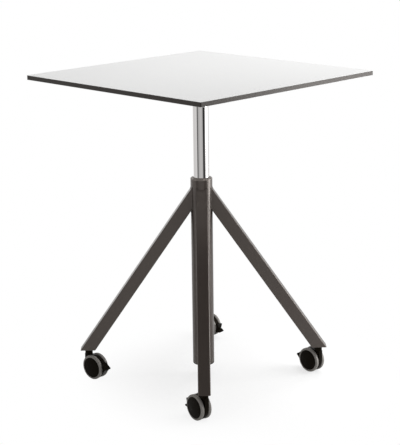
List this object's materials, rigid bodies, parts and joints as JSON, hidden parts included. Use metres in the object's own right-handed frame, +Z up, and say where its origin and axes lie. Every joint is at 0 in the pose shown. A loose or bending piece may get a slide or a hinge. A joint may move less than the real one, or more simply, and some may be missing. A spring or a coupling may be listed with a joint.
{
  "type": "height-adjustable mobile table",
  "caption": "Square table top on a gas-sprung column with slanted legs and swivelling twin-wheel casters, released by a lever under the top.",
  "frame": {"origin": "on the floor under the column's axis, where the wheels stand", "axes": "+Z up along the column, X and Y along the sides of the top, the legs on the diagonals"},
  "size_m": [0.75, 0.75, 0.988],
  "materials": {
    "frame_paint": "fine satin powder coat, warm anthracite",
    "collar_plastic": "moulded, satin",
    "bare_steel": "zinc plated",
    "bright_steel": "ground and polished",
    "chrome_tube": "bright chrome plating",
    "glide_plastic": "natural acetal",
    "black_steel": "black powder coat",
    "black_plastic": "moulded, fine grain",
    "white_laminate": "smooth melamine laminate",
    "dark_core": "sealed dark fibre core",
    "caster_plastic": "moulded nylon, semi-gloss",
    "tread_grey": "soft non-marking polyurethane"
  },
  "bodies": {
    "base": {"outer_tube": "frame_paint", "leg_front_right": "frame_paint", "leg_back_right": "frame_paint", "leg_back_left": "frame_paint", "leg_front_left": "frame_paint", "guide_collar": "collar_plastic", "key_rail": "bare_steel", "tube_foot_plate": "bare_steel", "tube_end_plug": "black_plastic", "leg_end_plates": "bare_steel", "caster_stems": "bright_steel", "spring_rod": "bright_steel", "spring_piston": "bare_steel", "rod_nut": "bare_steel"},
    "column": {"lift_tube": "chrome_tube", "glide_bush": "glide_plastic", "spring_cylinder": "black_steel", "rod_gland": "glide_plastic", "column_head": "black_steel", "lever_channel": "black_steel", "support_cross": "black_steel", "top_core": "dark_core", "top_laminate": "white_laminate", "under_laminate": "white_laminate", "top_screws": "bare_steel", "lever_pin": "bare_steel"},
    "lever": {"release_lever": "black_steel", "lever_grip": "black_plastic"},
    "valve_pin": {"release_pin": "bright_steel"},
    "caster_front_right": {"caster_front_right_housing": "caster_plastic", "caster_front_right_axle": "bright_steel", "caster_front_right_pedal_pin": "bright_steel"},
    "wheel_front_right_left": {"caster_front_right_wheel_left": "caster_plastic", "caster_front_right_tread_left": "tread_grey"},
    "wheel_front_right_right": {"caster_front_right_wheel_right": "caster_plastic", "caster_front_right_tread_right": "tread_grey"},
    "pedal_front_right": {"caster_front_right_brake_pedal": "caster_plastic"},
    "caster_back_right": {"caster_back_right_housing": "caster_plastic", "caster_back_right_axle": "bright_steel"},
    "wheel_back_right_left": {"caster_back_right_wheel_left": "caster_plastic", "caster_back_right_tread_left": "tread_grey"},
    "wheel_back_right_right": {"caster_back_right_wheel_right": "caster_plastic", "caster_back_right_tread_right": "tread_grey"},
    "caster_back_left": {"caster_back_left_housing": "caster_plastic", "caster_back_left_axle": "bright_steel", "caster_back_left_pedal_pin": "bright_steel"},
    "wheel_back_left_left": {"caster_back_left_wheel_left": "caster_plastic", "caster_back_left_tread_left": "tread_grey"},
    "wheel_back_left_right": {"caster_back_left_wheel_right": "caster_plastic", "caster_back_left_tread_right": "tread_grey"},
    "pedal_back_left": {"caster_back_left_brake_pedal": "caster_plastic"},
    "caster_front_left": {"caster_front_left_housing": "caster_plastic", "caster_front_left_axle": "bright_steel"},
    "wheel_front_left_left": {"caster_front_left_wheel_left": "caster_plastic", "caster_front_left_tread_left": "tread_grey"},
    "wheel_front_left_right": {"caster_front_left_wheel_right": "caster_plastic", "caster_front_left_tread_right": "tread_grey"}
  },
  "joints": [
    {"name": "column_lift", "type": "slide", "parent": "base", "child": "column", "axis": [0, 0, 1], "range_m": [-0.27, 0.115]},
    {"name": "lever_pull", "type": "hinge", "parent": "column", "child": "lever", "pos_m": [0, -0.028, 0.9548], "axis": [-1, 0, 0], "range_deg": [0, 6.5], "stiffness_Nm_per_rad": 3, "springref_deg": -8.59},
    {"name": "valve_press", "type": "slide", "parent": "column", "child": "valve_pin", "axis": [0, 0, -1], "range_m": [0, 0.0032]},
    {"name": "swivel_front_right", "type": "hinge", "parent": "base", "child": "caster_front_right", "pos_m": [0.26361, -0.26361, 0.08], "axis": [0, 0, 1], "continuous": true},
    {"name": "roll_front_right_left", "type": "hinge", "parent": "caster_front_right", "child": "wheel_front_right_left", "pos_m": [0.23595, -0.25923, 0.04], "axis": [-0.1564, -0.9877, 0], "continuous": true},
    {"name": "roll_front_right_right", "type": "hinge", "parent": "caster_front_right", "child": "wheel_front_right_right", "pos_m": [0.23595, -0.25923, 0.04], "axis": [-0.1564, -0.9877, 0], "continuous": true},
    {"name": "brake_front_right", "type": "hinge", "parent": "caster_front_right", "child": "pedal_front_right", "pos_m": [0.21422, -0.25579, 0.033], "axis": [-0.1564, -0.9877, 0], "range_deg": [0, 12]},
    {"name": "swivel_back_right", "type": "hinge", "parent": "base", "child": "caster_back_right", "pos_m": [0.26361, 0.26361, 0.08], "axis": [0, 0, 1], "continuous": true},
    {"name": "roll_back_right_left", "type": "hinge", "parent": "caster_back_right", "child": "wheel_back_right_left", "pos_m": [0.23565, 0.26508, 0.04], "axis": [-0.0523, -0.9986, 0], "continuous": true},
    {"name": "roll_back_right_right", "type": "hinge", "parent": "caster_back_right", "child": "wheel_back_right_right", "pos_m": [0.23565, 0.26508, 0.04], "axis": [-0.0523, -0.9986, 0], "continuous": true},
    {"name": "swivel_back_left", "type": "hinge", "parent": "base", "child": "caster_back_left", "pos_m": [-0.26361, 0.26361, 0.08], "axis": [0, 0, 1], "continuous": true},
    {"name": "roll_back_left_left", "type": "hinge", "parent": "caster_back_left", "child": "wheel_back_left_left", "pos_m": [-0.23572, 0.26605, 0.04], "axis": [-0.0872, 0.9962, 0], "continuous": true},
    {"name": "roll_back_left_right", "type": "hinge", "parent": "caster_back_left", "child": "wheel_back_left_right", "pos_m": [-0.23572, 0.26605, 0.04], "axis": [-0.0872, 0.9962, 0], "continuous": true},
    {"name": "brake_back_left", "type": "hinge", "parent": "caster_back_left", "child": "pedal_back_left", "pos_m": [-0.2138, 0.26797, 0.033], "axis": [-0.0872, 0.9962, 0], "range_deg": [0, 12]},
    {"name": "swivel_front_left", "type": "hinge", "parent": "base", "child": "caster_front_left", "pos_m": [-0.26361, -0.26361, 0.08], "axis": [0, 0, 1], "continuous": true},
    {"name": "roll_front_left_left", "type": "hinge", "parent": "caster_front_left", "child": "wheel_front_left_left", "pos_m": [-0.23572, -0.26117, 0.04], "axis": [-0.0872, 0.9962, 0], "continuous": true},
    {"name": "roll_front_left_right", "type": "hinge", "parent": "caster_front_left", "child": "wheel_front_left_right", "pos_m": [-0.23572, -0.26117, 0.04], "axis": [-0.0872, 0.9962, 0], "continuous": true}
  ],
  "couplings": [
    {"joint": "valve_press", "follows": "lever_pull", "m_per_rad": 0.028}
  ]
}
